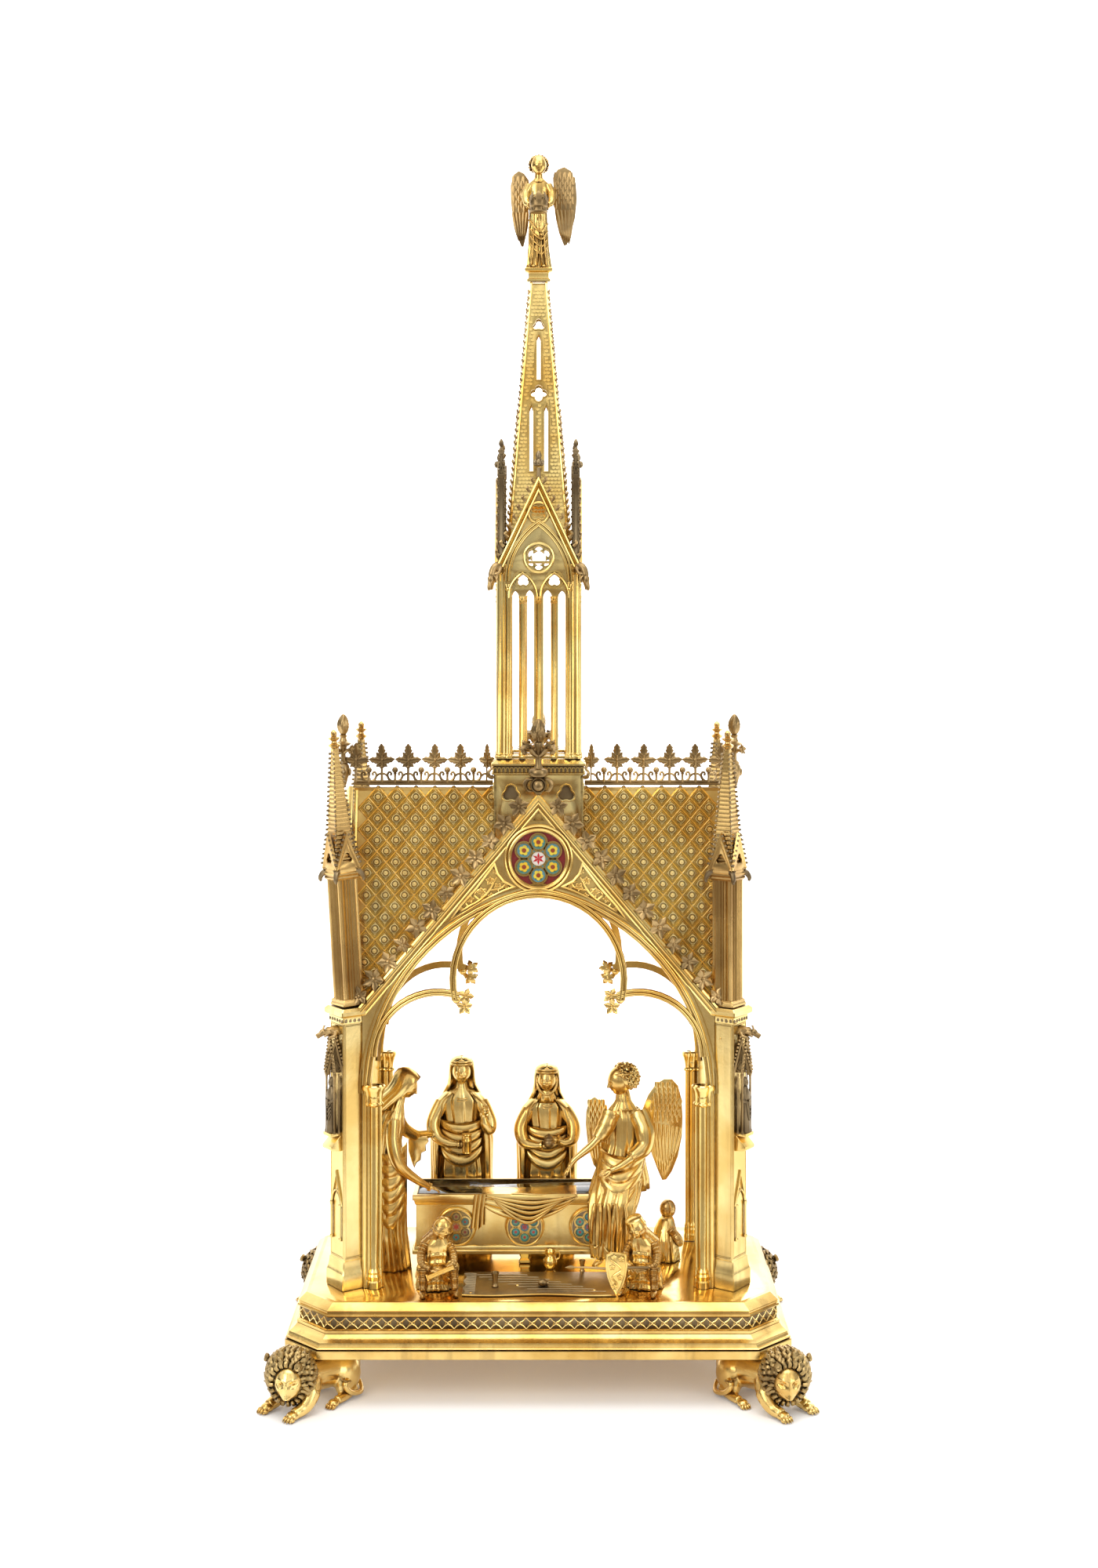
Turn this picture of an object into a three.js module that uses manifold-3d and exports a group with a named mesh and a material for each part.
// Silver-gilt shrine reliquary: an open, gabled chamber on four lions, with a crossing tower and spire,
// sheltering a tomb with mourning women, an angel and sleeping soldiers.
// Millimetres, +Z up, -Y is the front. The origin is on the floor at the centre.

import * as THREE from 'three';
import { mergeVertices } from 'three/addons/utils/BufferGeometryUtils.js';
import Module from 'manifold-3d';

const wasm = await Module();
wasm.setup();

// ---------------------------------------------------------------- driving dimensions
const GAP = 0.35;                    // space left between pieces that touch

const BASE = { bottom: 33, top: 67.3, halfX: 165, halfY: 88, growX: 13.6, growY: 17,
  chamferX: 21, chamferY: 23.5, chamferGrowX: 4, chamferGrowY: 2.5 };
const FLOOR = BASE.top + GAP;        // where everything on the base stands

const CORNER = { x: 136, y: 49.5, turn: 35, shaft: 10, top: 268, pinnacleTop: 466, lean: 3.3 };

const FRAME = { y: 55, depth: 5, edge: 126, spring: 206, archRadius: 145, archOffset: 25, rib: 5,
  lobeZ: 287.6, lobeRadius: 58.8, sideLobeX: 71.7, sideLobeZ: 232.7, sideLobeRadius: 43.7,
  footZ: 266, footX: 128, apexZ: 418, rake: 10, roundelZ: 374.4, roundelRadius: 24.6, enamelRadius: 20 };
const END = { x: 140, depth: 5, edge: 39.5, halfSpan: 32, archRadius: 150, gableWidth: 47, apexZ: 421,
  roundelZ: 336, roundelRadius: 12 };

const ROOF = { halfX: 136.6, halfY: 52, eaves: 266, eavesY: 47, ridge: 421, skin: 3 };
const CREST = { railLow: 421.8, railHigh: 424, from: 34, to: 138, firstLeaf: 38.7, pitch: 19.4, leaves: 6,
  leafWide: 439, leafTop: 453.3, ball: 433 };

const TOWER = { half: 32.5, low: 376, cornice: 432.5, top: 443.5, slab: 34 };
const LANTERN = { half: 29.5, wall: 3, pier: 9.5, low: TOWER.top + GAP, eaves: 586, apexZ: 649 };
const SPIRE = { low: 586.4, halfLow: 23.6, top: 794, halfTop: 5.5, skin: 1.6, teeth: 13, hook: 2.6 };
const CAP = { low: SPIRE.top + GAP, top: 804.5 };
const ANGEL_FOOT = CAP.top + GAP;

const TOMB = { x0: -90.7, x1: 69.6, y0: -5, y1: 36, low: 75.7, top: 119.5, wall: 3, roundels: [-61, -10.4, 37],
  roundelZ: 95.7, roundelRadius: 15 };

// ---------------------------------------------------------------- geometry helpers
const deg = THREE.MathUtils.degToRad;

// A closed mesh: shared vertices merged, slivers dropped, faces turned outwards.
function closed(geometry) {
  const bare = geometry.index ? geometry.toNonIndexed() : geometry.clone();
  bare.deleteAttribute('normal');
  bare.deleteAttribute('uv');
  const merged = mergeVertices(bare, 1e-4);
  const index = merged.index.array;
  const p = merged.attributes.position;
  const kept = [];
  const a = new THREE.Vector3();
  const b = new THREE.Vector3();
  const c = new THREE.Vector3();
  let volume = 0;
  for (let i = 0; i < index.length; i += 3) {
    const [i0, i1, i2] = [index[i], index[i + 1], index[i + 2]];
    if (i0 === i1 || i1 === i2 || i2 === i0) continue;
    kept.push(i0, i1, i2);
    volume += a.fromBufferAttribute(p, i0).dot(b.fromBufferAttribute(p, i1).cross(c.fromBufferAttribute(p, i2)));
  }
  if (volume < 0) kept.reverse();
  merged.setIndex(kept);
  return merged;
}

function solidOf(geometry) {
  const mesh = closed(geometry);
  return new wasm.Manifold(new wasm.Mesh({
    numProp: 3,
    vertProperties: new Float32Array(mesh.attributes.position.array),
    triVerts: new Uint32Array(mesh.index.array),
  }));
}

function geometryOf(solid) {
  const mesh = solid.getMesh();
  const geometry = new THREE.BufferGeometry();
  geometry.setAttribute('position', new THREE.BufferAttribute(new Float32Array(mesh.vertProperties), 3));
  geometry.setIndex(new THREE.BufferAttribute(new Uint32Array(mesh.triVerts), 1));
  return geometry;
}

function join(...geometries) {
  return geometryOf(geometries.flat().map(solidOf).reduce((whole, piece) => whole.add(piece)));
}

function cut(geometry, ...tools) {
  return geometryOf(tools.flat().map(solidOf).reduce((whole, tool) => whole.subtract(tool), solidOf(geometry)));
}

const moved = (geometry, x = 0, y = 0, z = 0) => geometry.clone().translate(x, y, z);
const spun = (geometry, degrees) => geometry.clone().rotateZ(deg(degrees));

function mirrored(geometry, axis) {
  const scale = { x: [-1, 1, 1], y: [1, -1, 1] }[axis];
  return closed(geometry.clone().scale(...scale));
}

function box(x0, x1, y0, y1, z0, z1) {
  return moved(new THREE.BoxGeometry(x1 - x0, y1 - y0, z1 - z0), (x0 + x1) / 2, (y0 + y1) / 2, (z0 + z1) / 2);
}

function ball(at, size, around = 8, down = 5) {
  const [rx, ry, rz] = Array.isArray(size) ? size : [size, size, size];
  return moved(new THREE.SphereGeometry(1, around, down).rotateX(Math.PI / 2).scale(rx, ry, rz), ...at);
}

// A turned solid about Z from [radius, z] pairs; it starts and ends on the axis.
function turned(profile, sides = 8) {
  const points = profile.map(([r, z]) => new THREE.Vector2(r, z));
  if (points[0].x > 0) points.unshift(new THREE.Vector2(0, points[0].y));
  if (points[points.length - 1].x > 0) points.push(new THREE.Vector2(0, points[points.length - 1].y));
  return closed(new THREE.LatheGeometry(points, sides).rotateX(Math.PI / 2));
}

// The same with a square plan: the pairs are [half width, z].
function squareStack(profile) {
  return spun(turned(profile.map(([half, z]) => [half * Math.SQRT2, z]), 4), 45);
}

// A solid through rings of equal count, with flat ends.
function loft(rings) {
  const count = rings[0].length;
  const positions = rings.flat();
  const index = [];
  rings.slice(1).forEach((ring, level) => {
    for (let i = 0; i < count; i++) {
      const a = level * count + i;
      const b = level * count + (i + 1) % count;
      index.push(a, b, b + count, a, b + count, a + count);
    }
  });
  [0, rings.length - 1].forEach((level) => {
    const middle = positions.length;
    const ring = rings[level];
    positions.push([0, 1, 2].map((k) => ring.reduce((sum, point) => sum + point[k], 0) / count));
    for (let i = 0; i < count; i++) {
      const a = level * count + i;
      const b = level * count + (i + 1) % count;
      index.push(...(level ? [a, b, middle] : [b, a, middle]));
    }
  });
  const geometry = new THREE.BufferGeometry();
  geometry.setAttribute('position', new THREE.Float32BufferAttribute(positions.flat(), 3));
  geometry.setIndex(index);
  return closed(geometry);
}

// Drapery: levels of [z, x, y, half width, half depth, fold depth] with vertical folds.
function drapery(levels, sides = 12, folds = 6) {
  return loft(levels.map(([z, x, y, rx, ry, fold = 0]) => Array.from({ length: sides }, (_, i) => {
    const angle = i / sides * Math.PI * 2;
    const wave = 1 + fold * Math.cos(folds * angle);
    return [x + rx * wave * Math.cos(angle), y + ry * wave * Math.sin(angle), z];
  })));
}

// A limb or rod through points, with a radius at each.
function limb(points, radii, sides = 6) {
  const at = points.map((point) => new THREE.Vector3(...point));
  const side = new THREE.Vector3();
  const up = new THREE.Vector3();
  let reference = Math.abs(at[1].clone().sub(at[0]).normalize().z) > 0.9
    ? new THREE.Vector3(1, 0, 0) : new THREE.Vector3(0, 0, 1);
  return loft(at.map((point, i) => {
    const along = at[Math.min(i + 1, at.length - 1)].clone().sub(at[Math.max(i - 1, 0)]).normalize();
    side.crossVectors(along, reference).normalize();
    up.crossVectors(side, along).normalize();
    reference = up.clone();
    const radius = Array.isArray(radii) ? radii[i] : radii;
    return Array.from({ length: sides }, (_, k) => {
      const angle = k / sides * Math.PI * 2;
      return point.clone().addScaledVector(side, Math.cos(angle) * radius)
        .addScaledVector(up, Math.sin(angle) * radius).toArray();
    });
  }));
}

// Points along an arc in the X-Z plane, angles in degrees.
function arc(cx, cz, radius, from, to, steps) {
  return Array.from({ length: steps + 1 }, (_, i) => {
    const angle = deg(from + (to - from) * i / steps);
    return [cx + radius * Math.cos(angle), cz + radius * Math.sin(angle)];
  });
}

const flip = (points) => points.map(([x, z]) => [-x, z]).reverse();
const circle = (cx, cz, radius, sides) => arc(cx, cz, radius, 0, 360 * (1 - 1 / sides), sides - 1);

// A flat plate with its outline and holes in X-Z, between two Y planes.
function plate(outline, y0, y1, holes = []) {
  const shape = new THREE.Shape(outline.map(([x, z]) => new THREE.Vector2(x, z)));
  const solid = new THREE.ExtrudeGeometry(shape, { depth: y1 - y0, bevelEnabled: false });
  const sheet = moved(solid.rotateX(Math.PI / 2), 0, y1, 0);
  return holes.length ? cut(sheet, holes.map((hole) => plate(hole, y0 - 1, y1 + 1))) : sheet;
}

// The first and last of four quarter turns of a piece that faces the front.
const fourSides = (geometry) => [0, 90, 180, 270].map((turn) => spun(geometry, turn));

const materials = {
  gilt: { color: 0xd9b25a, roughness: 0.25, metalness: 1 },
  worn: { color: 0x8d7a58, roughness: 0.45, metalness: 1 },
  glass: { color: 0xdfe8e4, roughness: 0.03, metalness: 0, transparent: true, opacity: 0.35 },
};

const reliquary = new THREE.Group();

function add(name, geometry, look = 'gilt') {
  const mesh = new THREE.Mesh(closed(geometry), new THREE.MeshStandardMaterial(materials[look]));
  mesh.name = name;
  reliquary.add(mesh);
}

// ---------------------------------------------------------------- base
function baseRing(z, grow) {
  const x = BASE.halfX + BASE.growX * grow;
  const y = BASE.halfY + BASE.growY * grow;
  const cx = x - BASE.chamferX - BASE.chamferGrowX * grow;
  const cy = y - BASE.chamferY - BASE.chamferGrowY * grow;
  return [[x, -cy], [x, cy], [cx, y], [-cx, y], [-x, cy], [-x, -cy], [-cx, -y], [cx, -y]].map(([px, py]) => [px, py, z]);
}

function makeBase(swell = 0) {
  const profile = [[33, 1], [39, 1], [39.4, 0.86], [40.2, 0.97], [41.2, 0.86], [43.5, 0.8], [48, 0.4], [50, 0.4],
    [50.6, 0.2], [58.5, 0.2], [59, 0.34], [61.5, 0.34], [63.2, 0.37], [67.3, 0]];
  return loft(profile.map(([z, grow]) => baseRing(z === 33 ? z - swell : z, grow + swell / 10)));
}

// ---------------------------------------------------------------- lions, heading +X with the rump at the origin
function makeLion() {
  const side = (s) => [
    ball([9, s * 10, 15], [14, 7, 14], 6, 3),
    limb([[50, s * 12, 12], [73, s * 14, 3.6]], [8, 4.6], 4),
    limb([[12, s * 12, 5], [31, s * 18, 3.4]], [6, 4.2], 4),
  ];
  const body = [
    drapery([[0, 22, 0, 24, 11], [20, 23, 0, 29, 14], [34, 24, 0, 22, 10]], 7),
    ball([58, 0, 26], [17, 19, 19], 7, 4),
    ball([70, 0, 19], [8.6, 9, 11], 5, 4),
    side(-1), side(1),
  ];
  return cut(join(body.flat()), box(-60, 120, -60, 60, -30, 0));
}

function addLions() {
  const heading = 51.3;
  const standing = moved(spun(makeLion(), 180 + heading), -136.5, -70, 0);
  const underBase = makeBase(GAP);
  const fitted = cut(standing, underBase);
  add('lion_front_left', fitted);
  add('lion_front_right', mirrored(fitted, 'x'));
  add('lion_back_left', mirrored(fitted, 'y'));
  add('lion_back_right', mirrored(mirrored(fitted, 'x'), 'y'));
}

// ---------------------------------------------------------------- corner buttresses and pinnacles
// Both are made with the outward face towards +X, then turned onto a corner.
function atCorner(geometry, sx, sy) {
  const turn = { '1,1': CORNER.turn, '-1,1': 180 - CORNER.turn, '-1,-1': 180 + CORNER.turn, '1,-1': -CORNER.turn };
  return moved(spun(geometry, turn[[sx, sy].join()]), sx * CORNER.x, sy * CORNER.y, 0);
}

const corners = [['front_left', -1, -1], ['front_right', 1, -1], ['back_left', -1, 1], ['back_right', 1, 1]];

function buttressStack(swell = 0) {
  const s = CORNER.shaft + swell;
  return squareStack([[12 + swell, FLOOR], [12 + swell, 79.5], [s + 0.6, 87.8], [s, 88.4], [s, 257], [s + 0.8, 257.4],
    [s + 0.8, 261], [13 + swell, 262.5], [13.4 + swell, 266], [11.5 + swell, CORNER.top + swell]]);
}

function makeButtress() {
  const bracket = plate([[9, 164], [18, 167], [18.4, 170], [9, 179]], -6.5, 6.5);
  const canopy = spun(plate([[-6, 222], [0, 247], [6, 222]], -16, -9), 90);
  const gargoyle = limb([[8, 0, 254], [22, 0, 248.5], [27, 0, 249.5]], [4.6, 2, 2.2], 5);
  return join(buttressStack(), bracket, canopy, gargoyle);
}

function makeStatuette() {
  const robe = drapery([[179.4, 14.6, 0, 3.4, 4.6], [198, 14.6, 0, 2.8, 3.8], [208, 14.6, 0, 2.8, 4.6], [212.4, 14.6, 0, 1.4, 1.8]], 6);
  const head = ball([14.8, 0, 215], [2.4, 2.3, 3.4], 5, 4);
  const hands = limb([[15, -4.8, 206], [17.6, 0, 201], [15, 4.8, 206]], 1.3, 4);
  return join(robe, head, hands);
}

function pinnacleStack(swell = 0) {
  return squareStack([[9.6 + swell, 268 + GAP - swell], [9.6 + swell, 272], [9.1 + swell, 273], [9.1 + swell, 360],
    [10.2 + swell, 362], [10.2 + swell, 366]]);
}

function makePinnacle() {
  const gablet = plate([[-9.8, 366.5], [0, 391], [9.8, 366.5]], -10.6, 10.6);
  const teeth = 5;
  const spirelet = Array.from({ length: teeth }, (_, k) => {
    const z = 391 + k * 60 / teeth;
    const half = 8.6 - 6.4 * (z - 364) / 88;
    return [[half - 0.4, z], [half + 1, z + 3]];
  }).flat();
  const knobs = limb([[-17.2, 0, 360], [17.2, 0, 360]], 2.4, 4);
  const stack = squareStack([[9.6, 268 + GAP], [9.6, 272], [9.1, 273], [9.1, 360], [10.2, 362], [10.2, 366.8], [8.4, 367], ...spirelet,
    [2.2, 452], [4.4, 455], [2, 457], [4.4, 460], [1.6, 461], [0.6, CORNER.pinnacleTop]]);
  return join(stack, gablet, spun(gablet, 90), spun(knobs, 45), spun(knobs, 135));
}

function addCorners() {
  const buttress = makeButtress();
  const statuette = makeStatuette();
  const pinnacle = makePinnacle();
  for (const [place, sx, sy] of corners) {
    add(`buttress_${place}`, atCorner(buttress, sx, sy));
    add(`statuette_${place}`, atCorner(statuette, sx, sy), 'worn');
    let upper = atCorner(pinnacle, sx, sy);
    if (place === 'front_left') upper = leaning(upper, sx, sy);
    add(`pinnacle_${place}`, upper, 'worn');
  }
}

// The front left pinnacle is bent outwards, pivoting on the top of its buttress.
function leaning(geometry, sx, sy) {
  const foot = [sx * CORNER.x, sy * CORNER.y, CORNER.top + GAP];
  const tilted = moved(geometry, -foot[0], -foot[1], -foot[2]).rotateY(deg(sx * CORNER.lean));
  return moved(tilted, foot[0], foot[1], foot[2] + 9.6 * Math.SQRT2 * Math.sin(deg(CORNER.lean)) + 0.05);
}

const cornerTools = () => corners.flatMap(([, sx, sy]) => {
  const upper = atCorner(pinnacleStack(GAP + 0.6), sx, sy);
  return [atCorner(buttressStack(GAP), sx, sy), sx < 0 && sy < 0 ? leaning(upper, sx, sy) : upper];
});

// ---------------------------------------------------------------- front and back frames
function circlesMeet(x0, z0, r0, x1, z1, r1) {
  const d = Math.hypot(x1 - x0, z1 - z0);
  const a = (d * d + r0 * r0 - r1 * r1) / (2 * d);
  const h = Math.sqrt(r0 * r0 - a * a);
  const [ux, uz] = [(x1 - x0) / d, (z1 - z0) / d];
  return [x0 + a * ux - h * uz, z0 + a * uz + h * ux];
}

// The pointed arch's inner line, right foot to left foot, at a distance outside the intrados.
function archLine(out, steps = 6) {
  const { archRadius, archOffset, spring } = FRAME;
  const radius = archRadius + out;
  const top = THREE.MathUtils.radToDeg(Math.acos(archOffset / radius));
  const right = arc(-archOffset, spring, radius, 0, top, steps);
  return [...right, ...flip(right).slice(1)];
}

// The cusped order's line: three lobes, grown by a distance.
function cuspLine(out, steps = 4) {
  const { lobeZ, lobeRadius, sideLobeX, sideLobeZ, sideLobeRadius } = FRAME;
  const [r0, r1] = [lobeRadius + out, sideLobeRadius + out];
  const [mx, mz] = circlesMeet(0, lobeZ, r0, sideLobeX, sideLobeZ, r1);
  const sideEnd = THREE.MathUtils.radToDeg(Math.atan2(mz - sideLobeZ, mx - sideLobeX));
  const topStart = THREE.MathUtils.radToDeg(Math.atan2(mz - lobeZ, mx));
  const side = arc(sideLobeX, sideLobeZ, r1, 0, sideEnd, steps);
  const crown = arc(0, lobeZ, r0, topStart, 180 - topStart, steps * 2).slice(1, -1);
  return [...side, ...crown, ...flip(side)];
}

// A rake's outer line with a row of leaf crockets, from foot to apex on the +X side.
function leafyRake([x0, z0], [x1, z1], leaves, size) {
  const length = Math.hypot(x1 - x0, z1 - z0);
  const [ux, uz] = [(x1 - x0) / length, (z1 - z0) / length];
  const pitch = length / (leaves + 0.8);
  return Array.from({ length: leaves }, (_, k) => [[-0.36, 0], [0.1, 1]].map(([along, out]) => {
    const t = pitch * (k + 0.9 + along);
    return [x0 + ux * t + uz * size * out, z0 + uz * t - ux * size * out];
  })).flat();
}

function makeFrame() {
  const { y, depth, edge, rib, footZ, footX, apexZ, rake, roundelZ, roundelRadius, enamelRadius } = FRAME;
  const [front, back] = [-y - depth / 2, -y + depth / 2];
  const opening = [[120, FLOOR - 1], ...archLine(0), [-120, FLOOR - 1]];
  const wall = plate([[edge, FLOOR], [edge, footZ], [footX, footZ], [0, apexZ], [-footX, footZ], [-edge, footZ], [-edge, FLOOR]],
    front + 1, back, [opening]);
  const cusp = plate([...cuspLine(rib), ...cuspLine(0).reverse()], front, back);
  const column = (s) => moved(turned([[5, FLOOR], [5, 75], [3.2, 80], [3.2, 198], [5.6, 211]], 6),
    s * 117.6, -y, 0);
  const slope = Math.atan2(apexZ - footZ, footX);
  const crockets = leafyRake([footX + 1, footZ + 1], [0, apexZ + 1], 11, 9.5);
  const leafBand = plate([[footX - 8, footZ], [footX, footZ], ...crockets, [0, apexZ + 1], ...flip(crockets), [-footX, footZ], [8 - footX, footZ],
    [0, apexZ - 10]], front + 1, front + 4);
  const foot = footX + 1;
  const lift = rake / Math.cos(slope);
  const moulding = plate([[foot, footZ + 1], [0, apexZ + 1], [-foot, footZ + 1], [-foot + rake * 1.3, footZ + 1], [0, apexZ - lift],
    [foot - rake * 1.3, footZ + 1]], front - 1.5, back);
  const roundel = moved(turned([[roundelRadius, 0], [roundelRadius, 2.5], [enamelRadius, 2.5], [enamelRadius, 1]], 12)
    .rotateX(Math.PI / 2), 0, front + 1.5, roundelZ);
  const [tipX, tipZ] = circlesMeet(0, FRAME.lobeZ, FRAME.lobeRadius, FRAME.sideLobeX, FRAME.sideLobeZ, FRAME.sideLobeRadius);
  const leaves = [-1, 1].map((s) => plate(circle(s * (tipX - 1), tipZ - 3, 6.5, 4), -y - 1.5, -y + 1.5));
  const whole = join(wall, cusp, [-1, 1].map(column), leafBand, moulding, roundel, leaves);
  return whole;
}

// ---------------------------------------------------------------- end frames, made facing the front and turned
function makeEndFrame(sideways) {
  const { x, depth, edge, halfSpan, archRadius, gableWidth, apexZ, roundelZ, roundelRadius } = END;
  const [front, back] = [-x - depth / 2 + 0.2, -x + depth / 2];
  const offset = archRadius - halfSpan;
  const top = THREE.MathUtils.radToDeg(Math.acos(offset / archRadius));
  const right = arc(-offset, FRAME.spring, archRadius, 0, top, 5);
  const cusp = [[halfSpan, 236], [halfSpan - 10, 246], [halfSpan - 7, 252]];
  const kept = right.filter(([, z]) => z < 236).concat(cusp, right.filter(([, z]) => z > 256));
  const opening = [[halfSpan, FLOOR - 1], ...kept, ...flip(kept).slice(1), [-halfSpan, FLOOR - 1]];
  const shoulder = 270;
  const narrow = gableWidth * (apexZ - shoulder) / (apexZ - FRAME.footZ);
  const crockets = leafyRake([narrow + 1, shoulder], [0, apexZ + 1], 6, 6);
  const wall = plate([[edge, FLOOR], [edge, shoulder], [narrow, shoulder], ...crockets, [0, apexZ], ...flip(crockets), [-narrow, shoulder],
    [-edge, shoulder], [-edge, FLOOR]], front + 1, back, [opening]);
  const moulding = plate([[narrow + 1, shoulder], [0, apexZ], [-narrow - 1, shoulder], [-narrow + 5, shoulder], [0, apexZ - 18],
    [narrow - 5, shoulder]], front - 1, back);
  const roundel = moved(turned([[roundelRadius, 0], [roundelRadius, 2]], 10).rotateX(Math.PI / 2), 0, front + 1.5, roundelZ);
  const column = (s) => limb([[s * 31.6, -x, FLOOR], [s * 31.6, -x, 212]], 2.6, 6);
  return cut(spun(join(wall, moulding, roundel, [-1, 1].map(column)), sideways), cornerTools());
}

// ---------------------------------------------------------------- roof, ridge cresting and finials
function roofPrism(halfLength, halfWidth, eaves, ridge, grow) {
  return plate([[-halfWidth - grow, eaves - 1], [-halfWidth - grow, eaves], [0, ridge + grow * 2.2], [halfWidth + grow, eaves],
    [halfWidth + grow, eaves - 1]], -halfLength, halfLength);
}

function roofOuter(grow = 0) {
  const main = spun(roofPrism(ROOF.halfX, ROOF.eavesY, ROOF.eaves, ROOF.ridge, grow), 90);
  const cross = roofPrism(ROOF.halfY, FRAME.footX - 4, ROOF.eaves, FRAME.apexZ - 1, grow);
  return join(main, cross);
}

function makeRoof() {
  const skin = ROOF.skin;
  const mainInner = spun(roofPrism(ROOF.halfX + 9, ROOF.eavesY - skin, ROOF.eaves - 4, ROOF.ridge - skin * 3.4, 0), 90);
  const crossInner = roofPrism(ROOF.halfY + 9, FRAME.footX - 4 - skin * 1.4, ROOF.eaves - 4, FRAME.apexZ - 1 - skin * 1.6, 0);
  const shell = cut(roofOuter(), mainInner, crossInner);
  return cut(shell, cornerTools());
}

function makeCrest() {
  const { railLow, railHigh, from, to, firstLeaf, pitch, leaves, leafWide, leafTop, ball: ballZ } = CREST;
  const outline = [];
  for (let k = 0; k < leaves; k++) {
    const x = firstLeaf + pitch * k;
    const half = [[-6.2, 427], [-1.8, 430], [k ? -8.2 : -3.4, leafWide], [-4.2, 448]];
    outline.push(...half.map(([dx, z]) => [x + dx, z]), [x, leafTop]);
    outline.push(...half.slice().reverse().map(([dx, z]) => [x + (z === leafWide ? (k < leaves - 1 ? 8.2 : 3) : -dx), z]));
    if (k < leaves - 1) {
      const middle = x + pitch / 2;
      outline.push([middle - 1.1, railHigh + 1], [middle, ballZ + 2.4], [middle + 1.1, railHigh + 1]);
    }
  }
  return join(plate([[from + 1, railHigh - 1], ...outline, [to - 2, railHigh - 1]], -1.3, 1.3), box(from, to, -1.8, 1.8, railLow, railHigh));
}

function cross(points, radii) {
  const there = points.slice().reverse().map(([r, z]) => [-r, 0, z]);
  const here = points.map(([r, z]) => [r, 0, z]);
  const bar = limb([...there, ...here], [...radii.slice().reverse(), ...radii], 4);
  return [45, 135].map((turn) => spun(bar, turn));
}

function makeRidgeFinial() {
  const shaft = turned([[1.6, 424.8], [4.8, 431], [4.8, 436], [2.4, 439], [5.4, 443], [2, 456], [4.7, 465.5], [0.5, 474.5]], 5);
  return join(shaft, cross([[6, 449], [8.6, 446]], [1.6, 1.1]));
}

function makeGableFinial() {
  const stem = turned([[2, 420.6], [5.6, 427], [3.6, 431.5], [6.6, 434], [6.6, 438], [2.4, 455], [5.5, 465.5], [0.5, 474.5]], 6);
  return join(stem, cross([[7, 453], [13, 456], [16, 448]], [2.2, 2.8, 1.4]), cross([[9.6, 427]], [2.4]));
}

// ---------------------------------------------------------------- tower base and lantern
function makeTowerBase() {
  const { half, low, cornice, top, slab } = TOWER;
  const block = box(-half, half, -half, half, low, cornice + 1);
  const cap = squareStack([[slab, cornice], [slab, 434], [half + 0.4, 434.4], [half + 0.4, 438.2], [slab + 0.4, 438.6], [slab + 0.4, 440.5],
    [30.5, top]]);
  const inside = join(box(-half + 3, half - 3, -half + 3, half - 3, low - 1, cornice - 2), box(-18, 18, -18, 18, low, top + 1));
  const openings = [-20, 20].map((x) => plate(circle(x, 419, 5.6, 6), -60, 60));
  return cut(join(block, cap), inside, openings, openings.map((g) => spun(g, 90)), roofOuter(GAP));
}

function lancet(x0, x1, low, spring, apex) {
  const middle = (x0 + x1) / 2;
  return [[x0, low], [x1, low], [x1, spring], [middle, apex], [x0, spring]];
}

function makeLantern() {
  const { half, wall, pier, low, eaves, apexZ } = LANTERN;
  const lights = [[-20, -14.3], [-9.7, -3.4], [3.4, 9.7], [14.3, 20]].map(([x0, x1]) => lancet(x0, x1, low + 3, 563, 569.5));
  const rose = circle(0, 590, 10, 6);
  const crockets = leafyRake([half + 0.6, eaves], [0, apexZ + 2], 4, 4).slice(1);
  const gable = [[half + 0.6, eaves], ...crockets, [0, apexZ + 2], ...flip(crockets), [-half - 0.6, eaves]];
  const side = [
    plate([[half, low], [half, eaves], [-half, eaves], [-half, low]], -half, -half + wall, [...lights, rose]),
    plate(gable, -half - 1.4, -half + wall, [rose, circle(0, 623, 7, 6)]),
    moved(turned([[1.4, apexZ], [4.8, 659.5], [0.6, 668]], 5), 0, -half + 0.8, 0),
  ];
  const quarters = [[1, 1], [-1, 1], [1, -1], [-1, -1]];
  const piers = quarters.map(([sx, sy]) => moved(squareStack([[pier / 2, low], [pier / 2, eaves]]), sx * (half - pier / 2 + 0.3),
    sy * (half - pier / 2 + 0.3), 0));
  const beast = limb([[-51, 0, 566], [-48, 0, 580], [-38, 0, 583], [38, 0, 583], [48, 0, 580], [51, 0, 566]], [1.4, 3, 3, 3, 3, 1.4], 4);
  const inside = box(-half + 9, half - 9, -half + 9, half - 9, low, apexZ);
  const pinnacleSpace = quarters.map(([sx, sy]) => moved(box(-3.2, 3.2, -3.2, 3.2, eaves, 700), sx * 27.2, sy * 27.2, 0));
  return cut(join(side.flatMap(fourSides), piers, [45, 135].map((turn) => cut(spun(beast, turn), inside))), pinnacleSpace);
}

function makeTowerPinnacle() {
  return squareStack([[2.5, LANTERN.eaves + GAP], [2.5, 650], [3.2, 652], [1, 665], [2.8, 668.5], [1, 671], [1.8, 674], [0.4, 677]]);
}

// ---------------------------------------------------------------- spire and its platform
function spireHalf(z) {
  return SPIRE.halfLow + (SPIRE.halfTop - SPIRE.halfLow) * (z - SPIRE.low) / (SPIRE.top - SPIRE.low);
}

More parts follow.
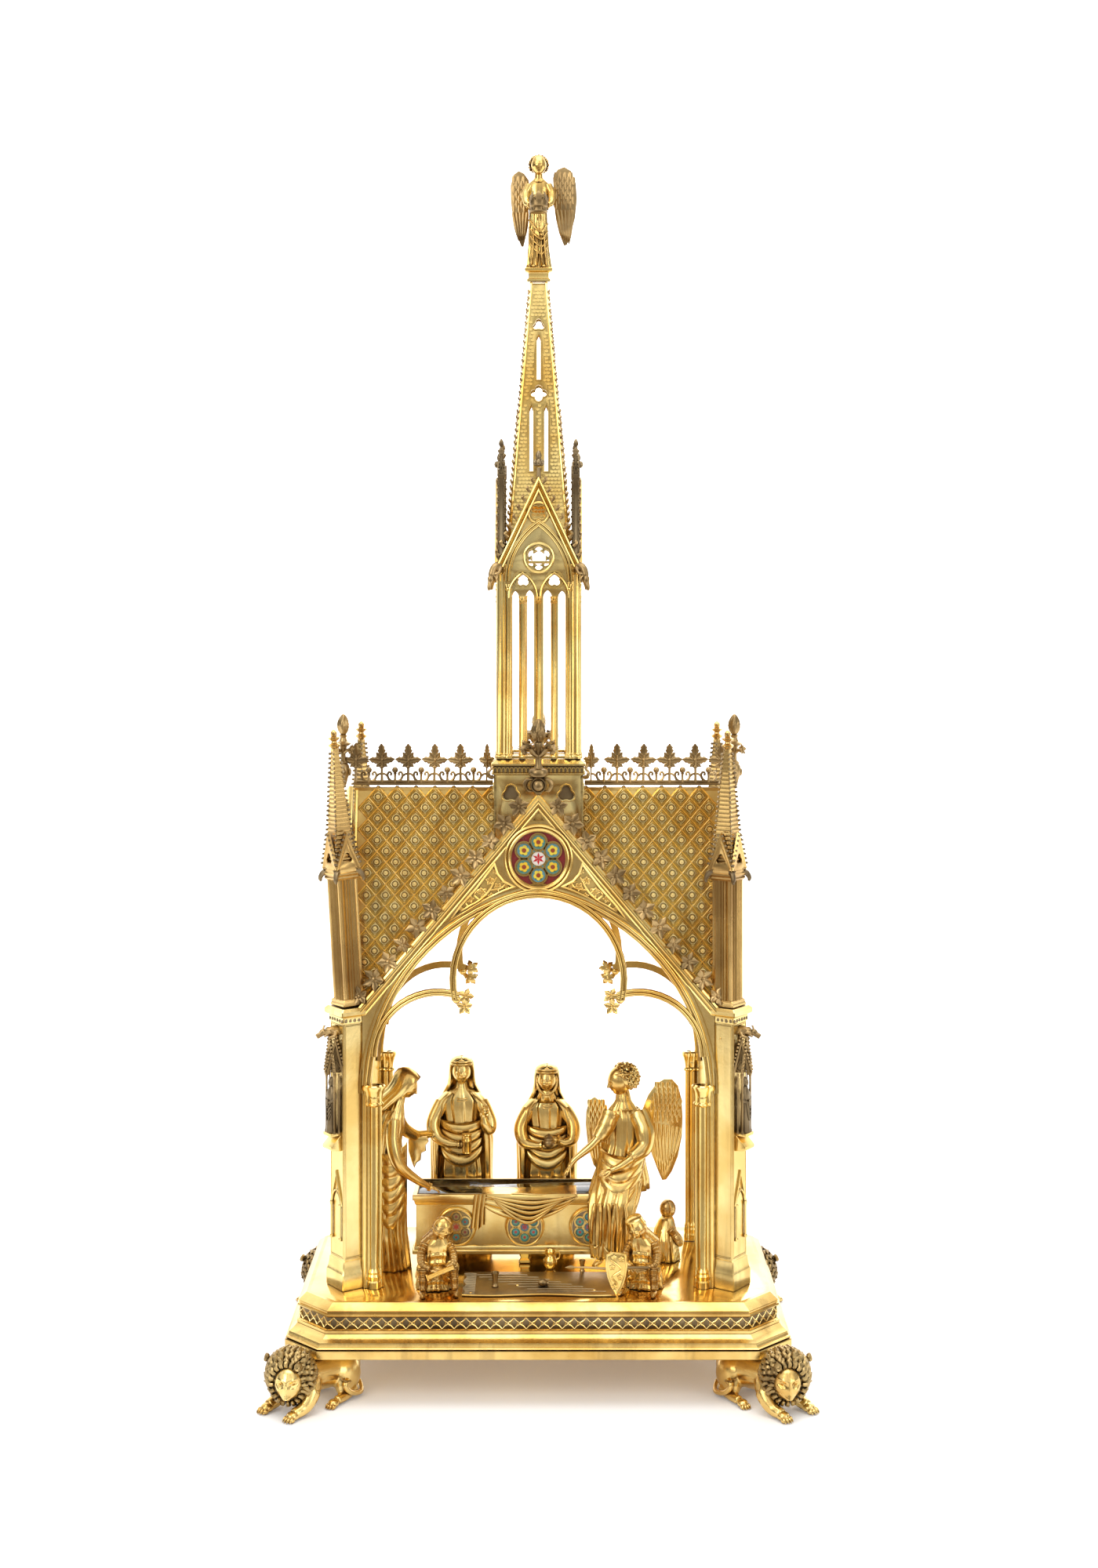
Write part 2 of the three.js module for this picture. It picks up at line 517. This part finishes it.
function makeSpire() {
  const { low, halfLow, top, halfTop, skin, teeth, hook } = SPIRE;
  const outer = squareStack([[halfLow, low], [halfTop, top]]);
  const inner = squareStack([[halfLow - skin, low - 1], [halfTop - skin - 0.6, top - 8]]);
  const rounds = [[763, 3.4], [712, 5.2]].map(([z, r]) => plate(circle(0, z, r, 4), -40, 40));
  const slots = [box(-1.75, 1.75, -40, 40, 722, 755), box(-7.2, -3.8, -40, 40, 654, 703), box(3.8, 7.2, -40, 40, 654, 703)];
  const windows = [...rounds, ...slots];
  const pitch = (782 - 618) / (teeth - 1);
  const edge = [];
  for (let k = 0; k < teeth; k++) {
    const z = 618 + pitch * k;
    const r = spireHalf(z) * Math.SQRT2;
    edge.push([r + hook, z + 1.2], [r + 0.1, z + pitch * 0.55]);
  }
  const foot = [[spireHalf(616) * Math.SQRT2 - 3, 616], [spireHalf(616) * Math.SQRT2 + 0.1, 616]];
  const fin = plate([...foot, ...edge, [spireHalf(789) * Math.SQRT2 - 3, 790]], -0.9, 0.9);
  const fins = [45, 135, 225, 315].map((turn) => spun(fin, turn));
  return cut(join(cut(outer, inner), fins), windows, windows.map((g) => spun(g, 90)));
}

const makeSpireCap = () => squareStack([[8.5, CAP.low], [8.5, 796.5], [7.5, 797], [7.5, 801], [10.2, 801.8], [10.2, CAP.top]]);

// ---------------------------------------------------------------- crowning angel
function addCrowningAngel() {
  const foot = ANGEL_FOOT;
  const robe = drapery([[foot, 0, 0, 9.5, 7, 0.1], [foot + 4, 0, 0, 8.4, 6.6, 0.12], [foot + 26, -0.5, 0, 7, 5.6, 0.1],
    [foot + 44, -0.5, -0.3, 6.6, 5, 0.04], [foot + 58, 0, 0, 8.2, 5], [foot + 66, 0, 0, 6.4, 4.2], [foot + 70, 0, 0, 2.8, 2.8]], 8, 4);
  const head = ball([0, -0.6, foot + 77], [6.8, 6.6, 8], 6, 4);
  const arms = [-1, 1].map((s) => limb([[s * 7.6, 0, foot + 62], [s * 10, -3, foot + 50], [s * 7.6, -8.4, foot + 45]], [3, 2.6, 2], 4));
  const body = join(robe, head, arms);
  add('crown_angel', body);
  const wing = (x0, x1, z0, z1) => loft([[z1, 0.35], [z1 - 8, 0.85], [(z0 + z1) / 2, 1], [z0 + 10, 0.55], [z0, 0.15]].map(([z, w]) => {
    const outward = x1 + (x0 - x1) * w;
    return [[x1, 6.6, z], [x1, 8.2, z], [outward, 10, z], [outward, 8.8, z]];
  }));
  add('crown_angel_wing_left', cut(wing(-21, -7.5, 822, 879), swollen(body)));
  add('crown_angel_wing_right', cut(wing(28.5, 10.5, 823, 882), swollen(body)));
  const crown = cut(turned([[6.2, foot + 38.6], [6.2, foot + 44], [9.4, foot + 58]], 10),
    turned([[5, foot + 38], [5, foot + 44], [8.4, foot + 59]], 10));
  const notches = [0, 60, 120].map((turn) => spun(box(-14, 14, -1.8, 1.8, foot + 53, foot + 60), turn));
  add('crown', cut(moved(cut(crown, notches), 0, -16.4, 0), swollen(body)));
}

// The same body a little larger in every direction, used to keep pieces apart.
function swollen(geometry, by = GAP) {
  const steps = [[by, 0, 0], [-by, 0, 0], [0, by, 0], [0, -by, 0], [0, 0, by], [0, 0, -by]];
  return join(steps.map(([x, y, z]) => moved(geometry, x, y, z)));
}

// ---------------------------------------------------------------- tomb, its glass and shroud
function addTomb() {
  const { x0, x1, y0, y1, low, top, wall, roundels, roundelZ, roundelRadius } = TOMB;
  const slab = (out, z0, z1) => box(x0 - out, x1 + out, y0 - out, y1 + out, z0, z1);
  const feet = [x0 + 12, -10.5, x1 - 12].flatMap((x) => [y0 + 6, y1 - 6].map((y) => box(x - 4, x + 4, y - 3, y + 3, FLOOR, low + 1)));
  const rings = roundels.map((x) => moved(turned([[roundelRadius, 0], [roundelRadius - 0.6, 1.6], [roundelRadius - 2.2, 1.6],
    [roundelRadius - 2.2, 0.8]], 10).rotateX(Math.PI / 2), x, y0 + 0.2, roundelZ));
  const whole = join(slab(0, low, top), slab(2.6, top - 4, top), slab(1.2, top - 7, top - 3), slab(2.6, low, low + 3), slab(1.2, low + 2, low + 6),
    feet, rings);
  const hollow = box(x0 + wall, x1 - wall, y0 + wall, y1 - wall, low + 3, top + 1);
  const rebate = box(x0 + 1, x1 - 1, y0 + 1, y1 - 1, top - 2.4, top + 1);
  add('tomb', cut(whole, hollow, rebate));
  add('tomb_glass', box(x0 + 1.4, x1 - 1.4, y0 + 1.4, y1 - 1.4, top - 2, top), 'glass');
}

function makeShroud() {
  const y = TOMB.y0 - 2.6 - GAP;
  const top = TOMB.top + GAP;
  const [left, right] = [-49, 28];
  const folds = 9;
  const front = Array.from({ length: folds + 1 }, (_, i) => {
    const t = i / folds;
    const x = left + (right - left) * t;
    const drop = top - 9 - 15 * Math.sin(Math.PI * t) - (i === 0 ? 8 : 0);
    const ripple = i % 2 ? 1.4 : 0;
    return [[x, y, drop], [x, y - 1.2 - ripple, drop], [x, y - 1.6 - ripple, top + 1.2], [x, y, top + 1.2]];
  });
  return join(loft(front), box(left, right, y - 0.8, y + 18, top, top + 1.2));
}

// ---------------------------------------------------------------- board and vessels in front of the tomb
function makeBoard() {
  const [x0, x1, back, front] = [-54, 55, -25, -76];
  const edge = Array.from({ length: 13 }, (_, i) => {
    const t = i / 12;
    return [x0 + (x1 - x0) * t, front - 1.6 * Math.sin(t * 9)];
  });
  const shape = new THREE.Shape([...edge, [x1, back], [x0, back]].map(([x, y]) => new THREE.Vector2(x, y)));
  const rivet = ball([-15, -55, FLOOR + 1.2], [1.6, 1.6, 0.9], 6, 4);
  return join(moved(new THREE.ExtrudeGeometry(shape, { depth: 1.2, bevelEnabled: false }), 0, 0, FLOOR), rivet);
}

function vessel(outside, inside, sides = 10) {
  return cut(turned(outside, sides), turned(inside, sides));
}

function addVessels() {
  const onBoard = FLOOR + 1.2 + GAP;
  const goblet = (scale) => vessel([[2.1, 0], [1.9, 5], [2.9, 10]].map(([r, z]) => [r * scale, z * scale]),
    [[1, 2], [1.2, 5], [2.3, 11]].map(([r, z]) => [r * scale, z * scale]), 7);
  add('goblet_left', moved(goblet(1), -31, -58, onBoard));
  add('goblet_right', moved(goblet(0.8), 32, -20, FLOOR));
  const jug = vessel([[2.4, 0], [4.9, 4.4], [4.6, 7.4], [2.9, 9.6], [3.7, 13.4]], [[2.4, 1.4], [4, 4.4], [3.9, 7.2], [2.2, 9.6], [3.1, 14.4]], 8);
  const handle = limb([[3.2, 0, 12], [6.6, 0, 12], [4.5, 0, 7]], 0.7, 4);
  add('jug', moved(join(jug, handle), 8.4, -15, FLOOR));
  const jar = vessel([[1.6, 0], [2.6, 3.6], [1.6, 6], [2, 7]], [[1.2, 1.2], [1.8, 3.4], [0.9, 6], [1.3, 8]], 7);
  add('jar', moved(jar.rotateY(deg(97)), 0, -57, onBoard + 2.7));
}

// ---------------------------------------------------------------- women at the tomb
function addWomen() {
  const z = FLOOR;
  const bending = join(
    drapery([[z, -108, -10, 13, 13, 0.08], [z + 50, -109, -9, 11.4, 11, 0.08], [z + 104, -109, -9, 10.6, 12], [z + 120, -107, -9, 8, 10],
      [z + 132, -104, -9, 5, 6]], 10, 5),
    ball([-102, -9, z + 137], [10, 8.6, 13.4], 7, 5),
    ball([-96, -9, z + 132], [6.4, 5.6, 8], 6, 4),
    limb([[-106, -17, z + 110], [-96, -19, z + 82], [-80, -9, z + 57.4]], [5.4, 5, 2.6], 5),
    limb([[-106, 0, z + 110], [-95, 11, z + 86], [-80, 37, z + 84]], [5.4, 4.6, 2.6], 5),
  );
  add('woman_left', cut(bending, box(-94, 80, -8.4, 40, 60, TOMB.top + GAP)));
  const standing = (x, y, width, tall, reach) => join(
    drapery([[z, x, y, width * 0.5, 9, 0.07], [z + tall * 0.34, x, y, width * 0.43, 8, 0.08], [z + tall * 0.56, x, y, width * 0.44, 8.4, 0.05],
      [z + tall * 0.72, x, y, width * 0.42, 8], [z + tall * 0.8, x, y + 1, width * 0.26, 7.6], [z + tall * 0.88, x, y + 1, 10.4, 8],
      [z + tall, x, y, 5, 5]], 10, 5),
    ball([x, y - 4, z + tall * 0.885], [7.4, 7, 10], 7, 4),
    limb([[x - width * 0.42, y, z + tall * 0.7], [x - width * 0.46, y - 7, z + tall * 0.54], [x + reach[0], 37, z + tall * reach[1]]], [5, 4.2, 3], 5),
    limb([[x + width * 0.42, y, z + tall * 0.7], [x + width * 0.48, y - 7, z + tall * 0.58], [x + reach[2], 37, z + tall * reach[3]]], [5, 4, 2.8], 5),
    moved(turned([[3.2, 0], [4.4, 4], [2.4, 9.6], [3.2, 13]], 6), x + reach[0] + 2, 35, z + tall * reach[1] - 5),
  );
  const tombSpace = box(-120, 120, -20, TOMB.y1 + 2.6 + GAP, 60, TOMB.top + GAP);
  const leftWoman = swollen(bending);
  add('woman_centre', cut(standing(-59, 48, 44, 148.5, [-10, 0.5, 21, 0.72]), tombSpace, leftWoman));
  add('woman_right', cut(standing(6, 48, 42, 141.5, [-4, 0.5, 8, 0.5]), tombSpace));
}

// ---------------------------------------------------------------- angel seated on the tomb
function addTombAngel() {
  const seat = TOMB.top + GAP;
  const body = join(
    drapery([[seat, 60, 8, 21, 14, 0.05], [seat + 34, 62, 10, 14, 9, 0.04], [seat + 54, 63, 10, 15, 9], [seat + 64, 63, 9, 9, 7],
      [seat + 76, 63, 8, 5, 5]], 10, 5),
    ball([63, 6, seat + 82], [9.4, 9.2, 11.6], 7, 5),
    limb([[52, 6, seat + 58], [42, 0, seat + 38], [22, -3, seat + 18]], [5.6, 4.6, 2.4], 5),
    limb([[75, 6, seat + 56], [78, -2, seat + 32], [50, -12, seat + 6]], [5.6, 4.8, 2.6], 5),
    loft([[[38, -10.4, 75], [40, -21, 75], [50, -24, 75], [60, -20, 75], [64, -10.4, 75]], [[36, -10.4, 96], [40, -20, 96], [50, -23, 96],
      [64, -20, 96], [70, -10.4, 96]], [[38, 4, seat + 4], [40, -14, seat + 6], [52, -18, seat + 8], [68, -16, seat + 6], [76, 4, seat + 4]],
    [[46, 10, seat + 16], [46, -4, seat + 16], [54, -8, seat + 18], [66, -8, seat + 16], [72, 10, seat + 16]]]),
    ball([45, -19, 74], [5, 8, 4], 5, 3),
  );
  const tombSpace = box(-120, TOMB.x1 + 2.6 + GAP, TOMB.y0 - 2.6 - GAP - 1.8, TOMB.y1 + 4, 60, seat);
  const angel = cut(body, tombSpace, box(-200, 200, -200, 200, 60, 71));
  add('tomb_angel', angel);
  const wing = (points) => loft([19, 21].map((y) => points.map(([x, z, back]) => [x, y + back, z])));
  add('tomb_angel_wing_right', cut(wing([[76, seat + 56, 0], [88, seat + 76, 1], [100, seat + 79.5, 2], [107, seat + 66, 3], [108, seat + 40, 4],
    [101, seat + 14, 4], [93, seat + 3, 4], [84, seat + 22, 2], [78, seat + 40, 0]]), swollen(angel)));
  add('tomb_angel_wing_left', cut(wing([[52, seat + 52, 0], [44, seat + 66, 2], [38, seat + 62, 4], [35, seat + 44, 6], [38, seat + 20, 8],
    [46, seat + 8, 6], [52, seat + 26, 2]]), swollen(angel)));
}

// ---------------------------------------------------------------- sleeping soldiers
function makeSoldier() {
  const z = FLOOR;
  const side = (s) => [
    limb([[1 + s * 11, -1, z + 30], [1 + s * 17, -9, z + 20], [1 + s * 5, -15, z + 17]], [4.4, 4, 2.8], 4),
    limb([[1 + s * 7, -4, z + 8], [1 + s * 12, -14, z + 20], [1 + s * 13, -20, z + 3]], [6, 5, 3.6], 4),
  ];
  return join(
    drapery([[z, 0, 2, 17, 13], [z + 20, 1, 2, 11, 9], [z + 31, 2, 0, 10, 8], [z + 40, 4, -2, 5, 5]], 8),
    ball([5, -3, z + 43], [7.4, 7.4, 9], 7, 5),
    side(-1), side(1),
  );
}

// The same man seen mostly from behind the tomb: a huddled body with a bowed head.
function makeSleeper() {
  const z = FLOOR;
  return join(drapery([[z, 0, 0, 13, 11], [z + 16, 0, 0, 11, 9], [z + 27, 2, -2, 8, 7], [z + 32, 3, -3, 4, 4]], 7),
    ball([4, -4, z + 35.5], [6, 6, 7.4], 6, 4));
}

function addSoldiers() {
  const soldier = cut(makeSoldier(), box(-60, 60, -60, 60, 40, FLOOR));
  const board = box(-55, 56, -90, -24.6, 60, FLOOR + 1.2 + GAP);
  const book = limb([[-6, -17, FLOOR + 12], [12, -17, FLOOR + 19]], [2.8, 2.8], 4);
  add('soldier_front_left', cut(moved(spun(join(soldier, book), 8), -74, -56, 0), board));
  const fittedRight = cut(moved(spun(mirrored(soldier, 'x'), -14), 76, -54, 0), board);
  const lance = closed(limb([[21, -74, 87.5], [46, -77, 87.6], [78, -73, 87]], [0.7, 1, 1.1], 5));
  const rightSoldier = cut(fittedRight, swollen(lance));
  add('soldier_front_right', rightSoldier);
  add('lance', lance, 'worn');
  const shield = plate([[48, 99], [52, 101], [61, 100.5], [62.5, 92], [60, 80], [55, 70.6], [50.5, 80], [47.6, 92]], -84, -82);
  add('shield', shield);
  add('soldier_back_left', moved(spun(makeSleeper(), 250), -108, 20, 0));
  add('soldier_back_right', moved(spun(makeSleeper(), 110), 94, 10, 0));
}

// ---------------------------------------------------------------- the whole shrine
addLions();
add('base', makeBase());
addCorners();
const frame = makeFrame();
add('frame_front', cut(frame, cornerTools()));
add('frame_back', cut(mirrored(frame, 'y'), cornerTools()));
add('frame_left', makeEndFrame(-90));
add('frame_right', makeEndFrame(90));
add('roof', makeRoof());
const crest = makeCrest();
add('crest_right', crest, 'worn');
add('crest_left', mirrored(crest, 'x'), 'worn');
const ridgeFinial = makeRidgeFinial();
add('ridge_finial_left', moved(ridgeFinial, -145, 0, 0), 'worn');
add('ridge_finial_right', moved(ridgeFinial, 145, 0, 0), 'worn');
const gableFinial = makeGableFinial();
add('gable_finial_front', moved(gableFinial, 0, -FRAME.y, 0), 'worn');
add('gable_finial_back', moved(gableFinial, 0, FRAME.y, 0), 'worn');
add('tower_base', makeTowerBase());
add('lantern', makeLantern());
corners.forEach(([place, sx, sy]) => add(`tower_pinnacle_${place}`, moved(makeTowerPinnacle(), sx * 27.2, sy * 27.2, 0), 'worn'));
add('spire', makeSpire());
add('spire_cap', makeSpireCap());
addCrowningAngel();
addTomb();
add('shroud', makeShroud());
add('board', makeBoard());
addVessels();
addWomen();
addTombAngel();
addSoldiers();

export default reliquary;
